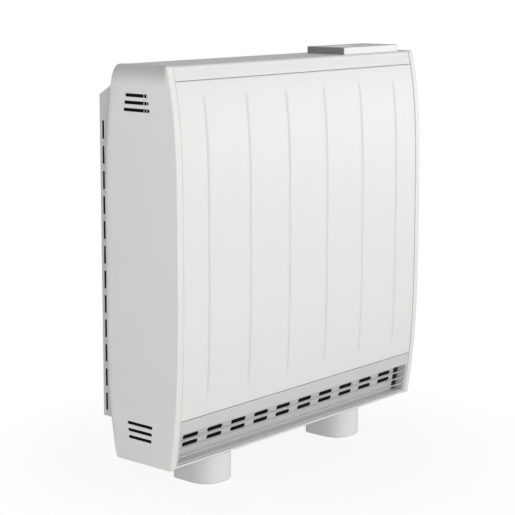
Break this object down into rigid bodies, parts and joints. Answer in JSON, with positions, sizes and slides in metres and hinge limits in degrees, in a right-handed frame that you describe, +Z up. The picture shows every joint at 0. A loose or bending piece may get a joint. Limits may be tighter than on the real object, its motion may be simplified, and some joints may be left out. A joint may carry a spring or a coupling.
{
  "type": "storage heater",
  "caption": "Fan-assisted storage heater on two feet: bowed grooved casing, vented end caps, slotted outlet grille, low control pod and a wall spacer box.",
  "frame": {"origin": "on the floor, under the middle of the heater's bounding box", "axes": "+X across the heater, to the right as seen from the front; -Y out of the front, +Y towards the wall; +Z up"},
  "size_m": [0.66, 0.186, 0.7291],
  "materials": {
    "white_paint": "glossy white stove enamel on steel sheet",
    "cap_white": "satin moulded plastic, slightly warm light grey-white",
    "silver_paint": "satin light grey paint on steel",
    "galvanised": "dull zinc-coated sheet",
    "white_plastic": "fine satin moulded plastic",
    "dark_plastic": "satin dark grey moulded plastic",
    "smoked_window": "polished smoked plastic",
    "board": "satin green circuit board laminate",
    "brick": "dry, slightly rough fired iron-oxide brick",
    "insulation": "dusty pressed fibre board",
    "sheath": "heat-darkened steel tube",
    "aluminium": "bare rolled sheet",
    "steel": "bright zinc-plated steel"
  },
  "bodies": {
    "casing": {"left_end_cap": "cap_white", "right_end_cap": "cap_white", "left_side_frame": "galvanised", "right_side_frame": "galvanised", "front_panel": "white_paint", "top_panel": "white_paint", "rear_panel": "galvanised", "base_panel": "galvanised", "wall_spacer": "silver_paint", "outlet_grille": "silver_paint", "grille_back_plate": "silver_paint", "left_foot": "white_plastic", "right_foot": "white_plastic", "left_foot_screw": "steel", "right_foot_screw": "steel", "left_core_support": "galvanised", "right_core_support": "galvanised", "core_case": "galvanised", "core_cover": "galvanised", "front_insulation": "insulation", "rear_insulation": "insulation", "left_insulation": "insulation", "right_insulation": "insulation", "top_insulation": "insulation", "base_insulation": "insulation", "front_brick_1_1": "brick", "rear_brick_1_1": "brick", "front_brick_1_2": "brick", "rear_brick_1_2": "brick", "front_brick_2_1": "brick", "rear_brick_2_1": "brick", "front_brick_2_2": "brick", "rear_brick_2_2": "brick", "heating_element_1": "sheath", "heating_element_2": "sheath", "fan_housing": "galvanised", "fan_bearing": "dark_plastic", "fan_motor": "steel", "flap_actuator": "dark_plastic", "boost_element": "sheath", "power_board": "board", "terminal_block": "dark_plastic", "cable_gland": "dark_plastic", "thermal_cutout": "dark_plastic", "control_pod": "white_plastic", "pod_louvre": "dark_plastic", "display_window": "smoked_window", "display_module": "dark_plastic", "control_board": "board", "room_sensor": "dark_plastic"},
    "fan": {"fan_impeller": "aluminium", "fan_shaft": "steel", "motor_rotor": "steel"},
    "flap": {"mixing_flap": "galvanised"},
    "reset": {"cutout_reset_button": "white_plastic"},
    "power": {"power_button": "dark_plastic"},
    "menu": {"menu_button": "dark_plastic"},
    "back": {"back_button": "dark_plastic"},
    "up": {"up_button": "dark_plastic"},
    "down": {"down_button": "dark_plastic"}
  },
  "joints": [
    {"name": "fan_spin", "type": "hinge", "parent": "casing", "child": "fan", "pos_m": [0, 0.01473, 0.106], "axis": [1, 0, 0], "continuous": true},
    {"name": "flap_swing", "type": "hinge", "parent": "casing", "child": "flap", "pos_m": [0, -0.02027, 0.1382], "axis": [1, 0, 0], "range_deg": [0, 40]},
    {"name": "reset_press", "type": "slide", "parent": "casing", "child": "reset", "axis": [-1, 0, 0], "range_m": [0, 0.0015], "stiffness_N_per_m": 800},
    {"name": "power_press", "type": "slide", "parent": "casing", "child": "power", "axis": [0, 0, -1], "range_m": [0, 0.0006], "stiffness_N_per_m": 1500},
    {"name": "menu_press", "type": "slide", "parent": "casing", "child": "menu", "axis": [0, 0, -1], "range_m": [0, 0.0006], "stiffness_N_per_m": 1500},
    {"name": "back_press", "type": "slide", "parent": "casing", "child": "back", "axis": [0, 0, -1], "range_m": [0, 0.0006], "stiffness_N_per_m": 1500},
    {"name": "up_press", "type": "slide", "parent": "casing", "child": "up", "axis": [0, 0, -1], "range_m": [0, 0.0006], "stiffness_N_per_m": 1500},
    {"name": "down_press", "type": "slide", "parent": "casing", "child": "down", "axis": [0, 0, -1], "range_m": [0, 0.0006], "stiffness_N_per_m": 1500}
  ]
}
